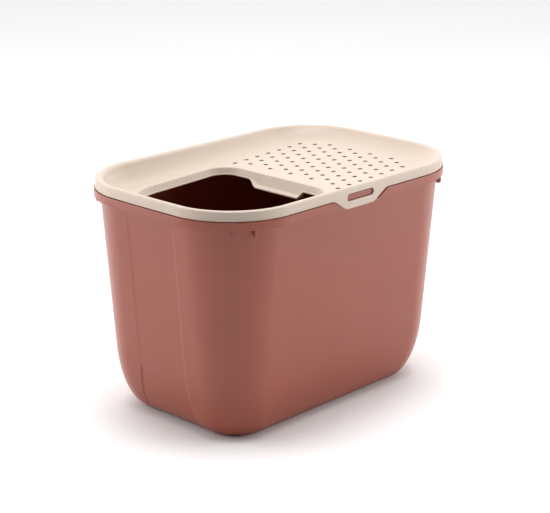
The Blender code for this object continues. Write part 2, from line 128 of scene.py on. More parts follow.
# Gussets under the rim.
GUSSET_ANGLES = (41.0, 61.0)
GUSSET_THICKNESS = 0.0026
GUSSET_REACH = 0.0083
GUSSET_DROP = 0.0125
GUSSET_TOE = 0.0026
# Slices across a gusset: their side, from -1 to 1, and how much they are trimmed at the edges.
GUSSET_SLICES = ((-1, 0.0004), (-0.7, 0.0), (0.7, 0.0), (1, 0.0004))

# Lid.
LID_SHELL = 0.0024
LID_INSET = (WIDTH - (LID_HIGH.y - LID_LOW.y)) / 2
LID_SKIRT_Z = 0.3793
LID_CORNER_RADIUS = 0.1170
DECK_REFERENCE = (0.139, 0.3732)
DECK_SLOPE = 0.0343
DECK_BORDER = 0.046
DECK_THICKNESS = 0.0025
LIP_INNER_DROP = 0.0040
LIP_DRAFT = 0.0006
LIP_EDGE_HEIGHT = 0.0030
LIP_EDGE_POWER = 0.9
LIP_EDGE_STEPS = 10
LIP_CROWN = 0.0046
LIP_WIDTH = 0.0136
LIP_FALL_ANGLE = math.radians(62)
LIP_FALL_STEPS = 6
# Underside of the lip: inset from the skirt and depth below the top.
LIP_UNDERSIDE = ((0.0112, 0.0036), (0.0066, 0.0024), (0.0046, 0.0032), (0.0034, 0.0056))
DISH_STEPS = 18
DISH_POWER = 2.05
DISH_UNDERSIDE = (0.75, 0.5, 0.28, 0.1)
DISH_UNDERSIDE_START = 0.0156

# Entry well.
WELL_X = (-0.234, 0.010)
WELL_HALF_WIDTH = 0.1275
WELL_CORNER_NEAR_STEP = 0.040
WELL_CORNER_FAR = 0.075
WELL_DEPTH = 0.010
WELL_DRAFT = 0.006
WELL_EDGE_ROUNDING = 0.0022
WELL_STEP_SIDE_HALF = 0.0845
WELL_FAR_SIDE_HALF = 0.050
WELL_LONG_SIDE = (-0.036, -0.154)
STEP_FOOT_X = 0.0015
STEP_NOSE_X = -0.0110
STEP_Z = 0.3502
STEP_FALL = 0.0006
STEP_REACH = 0.030
STEP_BACK_Y = (0.030, 0.061)
STEP_FRONT_Y = (-0.0640, -0.0660)
STEP_EDGE = 0.0012
STEP_UNDERSIDE_DROP = 0.0022

# Perforations.
HOLE_RADIUS = 0.0042
HOLE_PITCH = 0.0276
HOLE_ROW_PITCH = 0.0238
HOLE_FIRST_X = 0.1946
HOLES_IN_ROW = 7
HOLE_ROW_SHIFTS = (0, 1, 2, 1, 2, 1, 2, 1, 2, 1, 0)
HOLE_SIDES = 28
# Round edge of a hole: how much wider it is, at a height above the deck's face.
HOLE_EDGE = ((0.0016, 0.0010), (0.0007, 0.00002), (0.00028, -0.00022), (0.00006, -0.0006),
             (0.0, -0.0011), (0.0, -0.0060))

# Latch tabs and the lugs behind their slots.
TAB_TOP_HALF = TAB_HIGH.x
TAB_FOOT_HALF = 0.0345
TAB_FOOT_Z = TAB_LOW.z
TAB_THICKNESS = 0.0023
TAB_CORNER = 0.0070
TAB_SHOULDER = 0.0030
SLOT_HALF = 0.0320
SLOT_Z = (0.3730, 0.3846)
LUG_HALF = 0.0310
LUG_Z = (0.3735, 0.3828)
LUG_STAND = 0.0014
LUG_STEPS = 14
SLOT_STEPS = 16
# Round edge of a slot: how much wider it is, and how far outside the skirt's face.
SLOT_FLARE = ((0.0010, 0.0012), (0.0004, 0.0), (0.0001, -0.0004), (0.0, -0.0008), (0.0, -0.006))
# Round edges of a latch tab: how much smaller it is, and how far outside the skirt's face.
TAB_FACES = ((0.0005, -TAB_THICKNESS), (0.0, -TAB_THICKNESS + 0.0005), (0.0, -0.0005),
             (0.00015, -0.00015), (0.0005, 0.0))
TAB_CORNER_BULGE = 0.62
TAB_LEVELS = 27
TAB_ROUNDING_CENTRE = 0.030
TAB_EDGE_FADE = 0.002
NOTCH_CLEARANCE = 0.0012
NOTCH_INSET = 0.0060
NOTCH_EDGE_RUN = 0.0004
HAIR = 0.0001  # keeps two rings from lying on each other

# Plastics: colour, a slightly deeper shade of it, and roughness.
TERRACOTTA = ((0.290, 0.062, 0.033), (0.268, 0.056, 0.029), 0.30)
CREAM = ((0.540, 0.440, 0.360), (0.515, 0.418, 0.340), 0.38)
CLOUD_SCALE = 9.0
SPECK_SCALE = 620.0
SPECK_STRENGTH = 0.03
GRAIN_SCALE = 1900.0
GRAIN_HEIGHT = 0.000012
WAVE_SCALE = 26.0
WAVE_HEIGHT = 0.00022

# Studio: brightness of the white room, and the direction in which it turns dark.
ROOM_LIGHT = 1.52
DARK_SIDE = (-0.59, -0.69, 0.42)
DARK_SIDE_FADE = (0.18, 0.74)
FLOOR_WHITE = 0.92
FLOOR_REACH = 9.0
# Soft lights: place, aim, size and power.
LIGHTS = {
    "overhead": ((-0.1, -0.1, 3.0), (0.0, 0.0, 0.2), (1.6, 1.6), 62.0),
    "left": ((-1.4, 1.7, 0.6), (-0.1, 0.0, 0.2), (0.9, 1.0), 17.0),
    "right": ((1.6, -1.5, 0.6), (0.1, 0.0, 0.2), (1.2, 1.0), 17.0),
}

# Camera: where it stands round the box, and how it is shifted and turned.
CAMERA_AZIMUTH = math.radians(-46.37)
CAMERA_ELEVATION = math.radians(17.70)
CAMERA_ROLL = math.radians(0.13)
CAMERA_DISTANCE = 2.70736
CAMERA_TARGET = Vector((0, 0, 0.2))
CAMERA_ASIDE = -0.00353
CAMERA_ABOVE = -0.03085
CAMERA_LENS = 104.05


def smooth(value, low, high):
    """0 below low, 1 above high and a smooth ramp between; low may be above high."""
    t = min(max((value - low) / (high - low), 0.0), 1.0)
    return t * t * (3.0 - 2.0 * t)


def mix(a, b, t):
    """Straight-line blend from a to b."""
    return a + (b - a) * t


def spread(low, high, count):
    """Evenly spaced values from low to high, both included."""
    return [mix(low, high, i / (count - 1)) for i in range(count)]


def plan_loop(length, width, radius, bow, end_stations, side_stations):
    """Counter-clockwise rounded rectangle as (x, y), with bowed short ends."""
    half_x = length / 2 - bow
    half_y = width / 2
    points = []

    def corner(sign_x, sign_y, start):
        for step in range(CORNER_STEPS + 1):
            angle = start + RIGHT_ANGLE * step / CORNER_STEPS
            x = sign_x * (half_x - radius) + radius * math.cos(angle)
            y = sign_y * (half_y - radius) + radius * math.sin(angle)
            points.append([x, y])

    corner(1, 1, 0.0)
    points.extend([x, half_y] for x in sorted(side_stations, reverse=True))
    corner(-1, 1, RIGHT_ANGLE)
    points.extend([-half_x, y] for y in sorted(end_stations, reverse=True))
    corner(-1, -1, 2 * RIGHT_ANGLE)
    points.extend([x, -half_y] for x in sorted(side_stations))
    corner(1, -1, 3 * RIGHT_ANGLE)
    points.extend([half_x, y] for y in sorted(end_stations))
    for point in points:
        point[0] += math.copysign(bow, point[0]) * (1 - (point[1] / half_y) ** 2)
    return points


def new_object(name, mesh):
    """Link a mesh into the scene as an object."""
    obj = bpy.data.objects.new(name, mesh)
    bpy.context.scene.collection.objects.link(obj)
    return obj


def rounding_share(radius, side):
    """Share of a side that the rounding next to it takes up."""
    return min(LONGEST_ROUNDING, radius / max(side.length, 1e-9))


def rounded(rings, radii, closed_profile):
    """Round a stack of rings along its profile.

    radii gives, for each ring, how far from it the rounding starts; 0 leaves it sharp.
    """
    count = len(rings)
    result = []
    for k, ring in enumerate(rings):
        if radii[k] <= 0:
            result.append([Vector(p) for p in ring])
            continue
        before = rings[k - 1] if k or closed_profile else ring
        after = rings[(k + 1) % count] if k + 1 < count or closed_profile else ring
        for step in range(FILLET_STEPS + 1):
            t = step / FILLET_STEPS
            new = []
            for p, a, b in zip(ring, before, after):
                p, a, b = Vector(p), Vector(a), Vector(b)
                start = p + (a - p) * rounding_share(radii[k], a - p)
                end = p + (b - p) * rounding_share(radii[k], b - p)
                new.append(start * (1 - t) ** 2 + p * 2 * t * (1 - t) + end * t * t)
            result.append(new)
    return result


def loft(name, rings, closed_profile=False):
    """Skin closed rings of equal length; cap both ends unless the profile itself closes."""
    bm = bmesh.new()
    loops = [[bm.verts.new(point) for point in ring] for ring in rings]
    count = len(loops[0])
    pairs = list(zip(loops, loops[1:]))
    if closed_profile:
        pairs.append((loops[-1], loops[0]))
    for lower, upper in pairs:
        for k in range(count):
            after = (k + 1) % count
            bm.faces.new((lower[k], lower[after], upper[after], upper[k]))
    if not closed_profile:
        bm.faces.new(list(reversed(loops[0])))
        bm.faces.new(loops[-1])
    bmesh.ops.recalc_face_normals(bm, faces=bm.faces)
    mesh = bpy.data.meshes.new(name)
    bm.to_mesh(mesh)
    bm.free()
    return new_object(name, mesh)


def cut(obj, tools, operation):
    """Apply a Boolean with each tool and remove the tools."""
    for tool in tools:
        modifier = obj.modifiers.new(tool.name, "BOOLEAN")
        modifier.object = tool
        modifier.operation = operation
        modifier.solver = "EXACT"
    bpy.context.view_layer.update()
    graph = bpy.context.evaluated_depsgraph_get()
    mesh = bpy.data.meshes.new_from_object(obj.evaluated_get(graph))
    obj.modifiers.clear()
    obj.data = mesh
    for tool in tools:
        bpy.data.objects.remove(tool, do_unlink=True)


def finish_piece(obj, material, sharp_degrees=38.0):
    """Material, smooth shading with crisp edges, and normals that keep flat faces flat."""
    obj.data.materials.clear()
    obj.data.materials.append(material)
    obj.data.shade_smooth()
    obj.data.set_sharp_from_angle(angle=math.radians(sharp_degrees))
    weighted = obj.modifiers.new("weighted_normals", "WEIGHTED_NORMAL")
    weighted.keep_sharp = True
    weighted.weight = 60


# ---------------------------------------------------------------- tub

def grip_half_width(z):
    """Half-width of the end panel, flaring into the hand grip below it."""
    below = min(max((GRIP_TOP_Z - z) / GRIP_TOP_Z, 0.0), 1.0)
    return mix(PANEL_HALF_WIDTH, GRIP_FOOT_HALF_WIDTH, below)


def grip_depth(z):
    """How far the hand grip is sunk at a height below its top edge."""
    return mix(GRIP_DEPTH, GRIP_FOOT_DEPTH, (GRIP_TOP_Z - z) / GRIP_TOP_Z)


def arch_lift(z):
    """How far the base is raised at its ends, which leaves an arch between the feet."""
    return max(0.0, ARCH_HEIGHT - ARCH_FADE * z)


def shoulder(z):
    """How much wider than its straight sides a latch tab is, where it runs into the skirt."""
    rise = smooth(z, LID_SKIRT_Z - TAB_SHOULDER, LID_SKIRT_Z)
    return TAB_SHOULDER * rise * rise


def notch_half_width(z):
    """Half-width of the notch in the rim that a latch tab hangs in."""
    share = (z - TAB_FOOT_Z) / (RIM_LEDGE_Z - TAB_FOOT_Z)
    return mix(TAB_FOOT_HALF, TAB_TOP_HALF, share) + shoulder(z) + NOTCH_CLEARANCE


def tub_ring(size, z, bow=0.0, recess=0.0, notch=0.0, lift=0.0):
    """One closed ring of the tub; recess sinks the ends, notch the sides by the latch tabs."""
    length, width, radius = size
    grip = grip_half_width(z)
    tab = notch_half_width(min(max(z, RIM_SKIRT_Z), LID_SKIRT_Z))
    outer = [grip + EDGE_RUN * share for share in (1.0, 0.75, 0.5, 0.25)]
    inner = [grip * share for share in (1.0, 0.8, 0.6, 0.4, 0.2)]
    ends = [s * y for s in (-1, 1) for y in outer + inner] + [0.0]
    beside = [tab + NOTCH_EDGE_RUN * share for share in (1.0, 0.5)]
    across = [tab * share for share in (1.0, 0.97, 0.75, 0.5, 0.25)]
    beyond = [mix(tab + 0.006, 0.150, i / 5) for i in range(6)]
    sides = [s * x for s in (-1, 1) for x in beyond + beside + across] + [0.0]
    ring = []
    for x, y in plan_loop(length, width, radius, bow, ends, sides):
        height = z
        if abs(x) > length / 2 - bow - radius:
            share = smooth(abs(y), grip + EDGE_RUN, grip)
            x -= math.copysign(recess * share, x)
            height += lift * smooth(abs(y), grip + EDGE_RUN, grip)
        if abs(y) > width / 2 - radius:
            y -= math.copysign(notch * smooth(abs(x), tab + NOTCH_EDGE_RUN, tab), y)
        ring.append((x, y, height))
    return ring


def shrink(size, amount):
    """Plan size moved inwards all round."""
    radius = max(size[2] - amount, SMALLEST_CORNER_RADIUS)
    return (size[0] - 2 * amount, size[1] - 2 * amount, radius)


def wall_plan(z, inset=0.0):
    """Plan size of the tub's outer wall at a height, less an inset."""
    share = (z - WALL_LOW_Z) / (WALL_TOP_Z - WALL_LOW_Z)
    size = [mix(a, b, share) for a, b in zip(WALL_LOW, WALL_TOP)]
    if z < WALL_LOW_Z:
        drop = (WALL_LOW_Z - z) / WALL_LOW_Z
        curve = 1 - (1 - drop ** BASE_CURVE_POWER) ** (1 / BASE_CURVE_POWER)
        size[0] -= 2 * BASE_INSET[0] * curve
        size[1] -= 2 * BASE_INSET[1] * curve
        size[2] = mix(WALL_LOW[2], BASE_CORNER_RADIUS, curve)
    return shrink(size, inset)


def curve_heights():
    """Heights of the rings on the curve under the wall, closer together near the floor."""
    heights = []
    for i in range(BASE_CURVE_RINGS):
        angle = math.radians(mix(5.0, 79.0, i / (BASE_CURVE_RINGS - 1)))
        heights.append(WALL_LOW_Z * (1 - math.cos(angle) ** BASE_RING_POWER))
    return [z for z in heights if z < GRIP_TOP_Z - 0.002]


def make_tub(material):
    """The tub with its rolled rim, end grips, gussets, lugs and feet."""
    rings = []
    radii = []

    def add(size, z, radius=0.0, **options):
        rings.append(tub_ring(size, z, **options))
        radii.append(radius)

    foot = wall_plan(0.0)
    add(shrink(foot, FOOT_WIDTH + FOOT_TAPER + UNDERSIDE_RUN), FOOT_HEIGHT)
    add(shrink(foot, FOOT_WIDTH + FOOT_TAPER), FOOT_HEIGHT, ROUND_FOOT)
    add(shrink(foot, FOOT_WIDTH), 0.0, ROUND_RIM, lift=arch_lift(0.0))
    add(foot, 0.0, ROUND_FINE, lift=arch_lift(0.0), recess=GRIP_FOOT_DEPTH)
    for z in curve_heights():
        add(wall_plan(z), z, recess=grip_depth(z), lift=arch_lift(z))
    low = GRIP_TOP_Z - CREASE_BELOW
    high = GRIP_TOP_Z + CREASE_ABOVE
    add(wall_plan(low), low, ROUND_EDGE, recess=GRIP_DEPTH)
    add(wall_plan(high), high, ROUND_CREASE, recess=PANEL_DEPTH)
    for z in spread(GRIP_TOP_Z + 0.012, PANEL_TOP_Z - PANEL_EDGE_HEIGHT, 14):
        add(wall_plan(z), z, recess=PANEL_DEPTH)
    for z in (PANEL_TOP_Z, BAND_Z):
        add(wall_plan(z), z)
    add(wall_plan(WALL_TOP_Z), WALL_TOP_Z, ROUND_WALL)

    rim = (LENGTH, WIDTH, RIM_CORNER_RADIUS)
    bow = {"bow": END_BOW}
    inside = shrink(rim, RIM_SKIRT_THICKNESS)
    upstand = shrink(rim, UPSTAND_INSET)
    upstand_inner = shrink(rim, UPSTAND_INSET + WALL)
    notch = {"notch": NOTCH_INSET, "bow": END_BOW}
    levels = spread(RIM_SKIRT_Z, RIM_LEDGE_Z, 9)
    add(inside, WALL_TOP_Z, ROUND_RIM, **notch)
    for z in reversed(levels[1:]):
        if z < WALL_TOP_Z - WALL / 2:
            add(inside, z, **notch)
    add(inside, RIM_SKIRT_Z, ROUND_EDGE, **notch)
    add(rim, RIM_SKIRT_Z, ROUND_RIM, **notch)
    for z in levels[1:-1]:
        add(rim, z, **notch)
    add(rim, RIM_LEDGE_Z, ROUND_LEDGE, **notch)
    add(upstand, RIM_LEDGE_Z, ROUND_EDGE, notch=NOTCH_INSET - UPSTAND_INSET + HAIR, **bow)
    add(upstand, UPSTAND_TOP_Z, ROUND_EDGE, notch=HAIR, **bow)
    add(upstand_inner, UPSTAND_TOP_Z, ROUND_EDGE, **bow)
    add(upstand_inner, WALL_TOP_Z + WALL, ROUND_SOFT, **bow)
    add(wall_plan(WALL_TOP_Z, WALL), WALL_TOP_Z + WALL - ROUND_EDGE, ROUND_WALL)
    add(wall_plan(PANEL_TOP_Z, WALL), PANEL_TOP_Z)
    for z in reversed(spread(GRIP_TOP_Z + 0.003, PANEL_TOP_Z - PANEL_EDGE_HEIGHT, 8)):
        add(wall_plan(z, WALL), z, recess=PANEL_DEPTH)
    add(wall_plan(GRIP_TOP_Z, WALL), GRIP_TOP_Z, recess=GRIP_DEPTH)
    heights = curve_heights()
    for z in reversed(heights[5:]):
        add(wall_plan(z, WALL), z + WALL * 0.6, recess=grip_depth(z))
    floor_top = FOOT_HEIGHT + WALL
    add(wall_plan(heights[3], WALL), floor_top + ROUND_EDGE, recess=grip_depth(heights[3]))
    add(shrink(foot, WALL), floor_top)
    add(shrink(foot, FLOOR_RUN), floor_top)

    tub = loft("tub_shell", rounded(rings, radii, False))
    cut(tub, make_gussets() + make_lugs(), "UNION")
    finish_piece(tub, material)
    return tub


def gusset_profile():
    """Outline of a gusset as (distance from the corner's centre, height), with a round toe."""
    outer = RIM_CORNER_RADIUS - RIM_SKIRT_THICKNESS / 2
    inner = outer - GUSSET_REACH
    high = WALL_TOP_Z + WALL / 2
    low = RIM_SKIRT_Z - GUSSET_DROP
    profile = [(inner, low), (outer - GUSSET_TOE, low)]
    for step in range(1, 6):
        turn = RIGHT_ANGLE * step / 5
        reach = outer - GUSSET_TOE + GUSSET_TOE * math.sin(turn)
        profile.append((reach, low + GUSSET_TOE - GUSSET_TOE * math.cos(turn)))
    return profile + [(outer, high), (inner, high)]


def make_gusset(centre, outward):
    """One slim gusset that stands outwards from a corner's centre."""
    across = Vector((-outward.y, outward.x, 0))
    profile = gusset_profile()
    inner, high = profile[-1]
    rings = []
    for side, trim in GUSSET_SLICES:
        ring = []
        for reach, z in profile:
            reach -= trim if reach > inner else 0.0
            z += trim if z < high else 0.0
            place = centre + outward * reach + across * (side * GUSSET_THICKNESS / 2)
            ring.append((place.x, place.y, z))
        rings.append(ring)
    return loft("gusset_tool", rings)


def make_gussets():
    """Two gussets under the rim at each corner."""
    centre_x = LENGTH / 2 - END_BOW - RIM_CORNER_RADIUS
    centre_y = WIDTH / 2 - RIM_CORNER_RADIUS
    gussets = []
    for sign_x in (-1, 1):
        for sign_y in (-1, 1):
            centre = Vector((sign_x * centre_x, sign_y * centre_y, 0))
            for degrees in GUSSET_ANGLES:
                angle = math.radians(degrees)
                outward = Vector((sign_x * math.cos(angle), sign_y * math.sin(angle), 0))
                gussets.append(make_gusset(centre, outward))
    return gussets


def stadium(half_length, low, high, steps):
    """Slot with round ends in the (x, z) plane."""
    radius = (high - low) / 2
    middle = (high + low) / 2
    points = []
    for sign, start in ((1, -RIGHT_ANGLE), (-1, RIGHT_ANGLE)):
        for step in range(steps + 1):
            angle = start + math.pi * step / steps
            x = sign * (half_length - radius) + radius * math.cos(angle)
            points.append((x, middle + radius * math.sin(angle)))
    return points


def make_lugs():
    """The catch lug behind each latch slot, with a rounded face."""
    face = WIDTH / 2 - NOTCH_INSET
    lugs = []
    for side in (-1, 1):
        rings = []
        levels = ((0.0, -WALL / 2), (0.0, LUG_STAND - 0.0007), (0.0003, LUG_STAND - 0.0002),
                  (0.0008, LUG_STAND))
        for inset, stand in levels:
            outline = stadium(LUG_HALF - inset, LUG_Z[0] + inset, LUG_Z[1] - inset, LUG_STEPS)
            rings.append([(x, side * (face + stand), z) for x, z in outline])
        lugs.append(loft("lug_tool", rings))
    return lugs


# ---------------------------------------------------------------- lid

def deck_z(x):
    """Height of the deck's upper face, which falls gently towards the entry."""
    return DECK_REFERENCE[1] + DECK_SLOPE * (x - DECK_REFERENCE[0])


# Stations along the well's side with the step, closer together at the step's two ends.
STEP_STATIONS = (
    spread(-WELL_STEP_SIDE_HALF, STEP_FRONT_Y[1] - 0.0015, 5)
    + spread(STEP_FRONT_Y[1] - 0.0003, STEP_FRONT_Y[0] + 0.0002, 5)
    + [-0.060]
    + spread(-0.045, 0.022, 4)
    + spread(STEP_BACK_Y[0] - 0.001, STEP_BACK_Y[1] + 0.001, 9)
    + [0.073]
)
END_STATIONS = spread(-0.064, 0.064, len(STEP_STATIONS))
TAB_LINE = TAB_TOP_HALF + TAB_SHOULDER
SIDE_STATIONS = (spread(-0.150, -0.078, 5) + spread(-TAB_LINE, TAB_LINE, 15)
                 + spread(0.078, 0.150, 5))


def lid_loop(inset):
    """Plan loop of the lid, inset from the outside of its skirt."""
    length = LENGTH - 2 * LID_INSET - 2 * inset
    width = WIDTH - 2 * LID_INSET - 2 * inset
    radius = max(LID_CORNER_RADIUS - inset, SMALLEST_CORNER_RADIUS)
    return plan_loop(length, width, radius, END_BOW, END_STATIONS, SIDE_STATIONS)


def lid_ring(inset, z):
    """Level ring of the lid at an inset."""
    return [(x, y, z) for x, y in lid_loop(inset)]


def border_ring(inset, share, drop=0.0):
    """Ring on the dished border, a share of the way from the lip down to the deck."""
    lip_z = TOP - LIP_INNER_DROP
    return [(x, y, mix(lip_z, deck_z(x), share) - drop) for x, y in lid_loop(inset)]


def dish_share(t):
    """Share of the way down the dished border: steep at the lip, then flattening out."""
    return 1 - (1 - t) ** DISH_POWER


def well_loop(inset):
    """Plan loop of the entry well, with one point for each point of a lid ring."""
    centre_x = (WELL_X[0] + WELL_X[1]) / 2
    half_x = (WELL_X[1] - WELL_X[0]) / 2 - inset
    half_y = WELL_HALF_WIDTH - inset
    near = WELL_CORNER_NEAR_STEP - inset
    far = WELL_CORNER_FAR - inset
    sides = spread(*WELL_LONG_SIDE, len(SIDE_STATIONS))
    far_side = spread(WELL_FAR_SIDE_HALF, -WELL_FAR_SIDE_HALF, len(END_STATIONS))
    points = []

    def corner(sign_x, sign_y, start, radius):
        for step in range(CORNER_STEPS + 1):
            angle = start + RIGHT_ANGLE * step / CORNER_STEPS
            points.append((
                centre_x + sign_x * (half_x - radius) + radius * math.cos(angle),
                sign_y * (half_y - radius) + radius * math.sin(angle),
            ))

    corner(1, 1, 0.0, near)
    points.extend((x, half_y) for x in sides)
    corner(-1, 1, RIGHT_ANGLE, far)
    points.extend((centre_x - half_x, y) for y in far_side)
    corner(-1, -1, 2 * RIGHT_ANGLE, far)
    points.extend((x, -half_y) for x in reversed(sides))
    corner(1, -1, 3 * RIGHT_ANGLE, near)
    points.extend((centre_x + half_x, y) for y in STEP_STATIONS)
    return points


def well_ring(inset, depth):
    """Ring of the well wall at a depth below the deck."""
    return [(x, y, deck_z(x) - depth) for x, y in well_loop(inset)]


def step_share(x, y):
    """1 where the low step stands below the well's wall, fading to 0 at its two ends."""
    if x < WELL_X[1] - WELL_DRAFT - STEP_REACH:
        return 0.0
    back = 1 - smooth(y, *STEP_BACK_Y)
    front = 1 - smooth(-y, -STEP_FRONT_Y[0], -STEP_FRONT_Y[1])
    return back * front


def step_ring(base, x, z, drop=0.0):
    """Pull a wall ring to the step's foot or nose along the step, and lower the rest."""
    ring = []
    for px, py, pz in base:
        share = step_share(px, py)
        ring.append((mix(px, x, share), py, mix(pz - drop, z, share)))
    return ring


def skirt_and_lip():
    """The skirt's outside and the lip's round top as (inset, z), from the skirt's foot up."""
    yield 0.0, LID_SKIRT_Z
    for z in spread(LID_SKIRT_Z + 0.0012, TOP - LIP_EDGE_HEIGHT - 0.0010, 5):
        yield LIP_DRAFT * (z - LID_SKIRT_Z) / (TOP - LIP_EDGE_HEIGHT - LID_SKIRT_Z), z
    for step in range(LIP_EDGE_STEPS + 1):
        turn = RIGHT_ANGLE * step / LIP_EDGE_STEPS
        inset = LIP_CROWN - (LIP_CROWN - LIP_DRAFT) * math.cos(turn) ** LIP_EDGE_POWER
        yield inset, TOP - LIP_EDGE_HEIGHT * (1 - math.sin(turn))
    for step in range(1, LIP_FALL_STEPS + 1):
        turn = LIP_FALL_ANGLE * step / LIP_FALL_STEPS
        across = math.sin(turn) / math.sin(LIP_FALL_ANGLE)
        down = (1 - math.cos(turn)) / (1 - math.cos(LIP_FALL_ANGLE))
        yield mix(LIP_CROWN, LIP_WIDTH, across), TOP - LIP_INNER_DROP * down


def well_and_step():
    """Rings of the entry well with their rounding, from the deck down, under the step and up."""
    shell = DECK_THICKNESS
    foot = well_ring(WELL_DRAFT, WELL_DEPTH)
    nose = well_ring(WELL_DRAFT + STEP_EDGE, WELL_DEPTH + STEP_FALL / 3)
    under = well_ring(WELL_DRAFT - STEP_EDGE, WELL_DEPTH)
    low = STEP_Z - shell
    return (
        (well_ring(-0.0034, 0.0), 0.0),
        (well_ring(-0.0004, 0.0), WELL_EDGE_ROUNDING),
        (step_ring(foot, STEP_FOOT_X, STEP_Z + STEP_FALL), ROUND_STEP),
        (step_ring(nose, STEP_NOSE_X, STEP_Z), ROUND_NOSE),
        (step_ring(nose, STEP_NOSE_X, low, STEP_UNDERSIDE_DROP), ROUND_EDGE),
        (step_ring(under, STEP_FOOT_X + LID_SHELL, low, STEP_UNDERSIDE_DROP), ROUND_RIM),
        (well_ring(-0.0008, 0.0034), ROUND_RIM),
        (well_ring(-0.0030, shell), 0.0),
    )


def make_lid(material):
    """The lid shell: skirt, rounded lip, dished border, sloping deck and entry well."""
    profile = [(lid_ring(inset, z), 0.0) for inset, z in skirt_and_lip()]

    def add(ring):
        profile.append((ring, 0.0))

    for step in range(1, DISH_STEPS + 1):
        t = step / DISH_STEPS
        add(border_ring(mix(LIP_WIDTH, DECK_BORDER, t), dish_share(t)))
    add(border_ring(DECK_BORDER + 0.0010, 1.0))
    profile.extend(well_and_step())
    add(border_ring(DECK_BORDER + 0.0006, 1.0, DECK_THICKNESS))
    for t in DISH_UNDERSIDE:
        inset = mix(DISH_UNDERSIDE_START, DECK_BORDER, t)
        add(border_ring(inset, dish_share(t), DECK_THICKNESS))
    for inset, depth in LIP_UNDERSIDE:
        add(lid_ring(inset, TOP - depth))
    add(lid_ring(LID_SHELL, LID_SKIRT_Z))
    rings = rounded([ring for ring, _ in profile], [radius for _, radius in profile], True)
    lid = loft("lid_shell", rings, closed_profile=True)
    cut(lid, [make_hole_tool()] + [make_slot_tool(side) for side in (-1, 1)], "DIFFERENCE")
    finish_piece(lid, material)
    return lid


def hole_centres():
    """Plan positions of the perforations."""
    middle = (len(HOLE_ROW_SHIFTS) - 1) / 2
    for row, shift in enumerate(HOLE_ROW_SHIFTS):
        y = (middle - row) * HOLE_ROW_PITCH
        for i in range(HOLES_IN_ROW):
            yield HOLE_FIRST_X + HOLE_PITCH * (shift / 2 - i), y


def make_hole_tool():
    """A flared plug for each perforation, as one Boolean tool."""
    bm = bmesh.new()
    for x, y in hole_centres():
        loops = []
        for wider, height in HOLE_EDGE:
            loop = []
            for k in range(HOLE_SIDES):
                angle = 2 * math.pi * k / HOLE_SIDES
                px = x + (HOLE_RADIUS + wider) * math.cos(angle)
                py = y + (HOLE_RADIUS + wider) * math.sin(angle)
                loop.append(bm.verts.new((px, py, deck_z(px) + height)))
            loops.append(loop)
        for upper, lower in zip(loops, loops[1:]):
            for k in range(HOLE_SIDES):
                after = (k + 1) % HOLE_SIDES
                bm.faces.new((lower[k], lower[after], upper[after], upper[k]))
        bm.faces.new(loops[0])
        bm.faces.new(list(reversed(loops[-1])))
    bmesh.ops.recalc_face_normals(bm, faces=bm.faces)
    mesh = bpy.data.meshes.new("hole_tool")
    bm.to_mesh(mesh)
    bm.free()
    return new_object("hole_tool", mesh)


def make_slot_tool(side):
    """A tool that cuts a latch slot, flared where it breaks through the outer face."""
    face = WIDTH / 2 - LID_INSET
    rings = []
    for wider, stand in SLOT_FLARE:
        outline = stadium(SLOT_HALF + wider, SLOT_Z[0] - wider, SLOT_Z[1] + wider, SLOT_STEPS)
        rings.append([(x, side * (face + stand), z) for x, z in outline])
    return loft("slot_tool", rings)


# ---------------------------------------------------------------- latch tabs

def tab_half_width(z):
    """Half-width of a latch tab at a height, with its foot corners and shoulders rounded."""
    share = (z - TAB_FOOT_Z) / (LID_SKIRT_Z - TAB_FOOT_Z)
    half = mix(TAB_FOOT_HALF, TAB_TOP_HALF, share) + shoulder(z)
    rise = z - TAB_FOOT_Z
    if rise < TAB_CORNER:
        circle = math.sqrt(1 - (1 - rise / TAB_CORNER) ** 2)
        half -= TAB_CORNER * TAB_CORNER_BULGE * (1 - circle)
    return half


def make_tab(name, side, material):
    """A latch tab: a plate that narrows downwards, with the lower part of the slot in it."""
    face = WIDTH / 2 - LID_INSET
    drop = LID_SKIRT_Z - TAB_FOOT_Z
    levels = [
        LID_SKIRT_Z - drop * (1 - math.cos(angle)) / 2
        for angle in spread(0.0, math.pi, TAB_LEVELS)
    ]
    edge = [(tab_half_width(z), z) for z in levels]
    outline = [(-x, z) for x, z in edge] + [(x, z) for x, z in reversed(edge)]
    middle = LID_SKIRT_Z + TAB_ROUNDING_CENTRE
    rings = []
    for inset, stand in TAB_FACES:
        ring = []
        for x, z in outline:
            share = min(1.0, (LID_SKIRT_Z - z) / TAB_EDGE_FADE)
            away = Vector((x, z - middle)).normalized() * inset * share
            ring.append((x - away.x, side * (face + stand), z - away.y))
        rings.append(ring)
    tab = loft(name, rings)
    cut(tab, [make_slot_tool(side)], "DIFFERENCE")
    finish_piece(tab, material)
    return tab


# ---------------------------------------------------------------- materials

def add_node(tree, kind, **values):
    """A shader node with its inputs set by name."""
    node = tree.nodes.new(kind)
    for key, value in values.items():
        node.inputs[key.replace("_", " ")].default_value = value
    return node


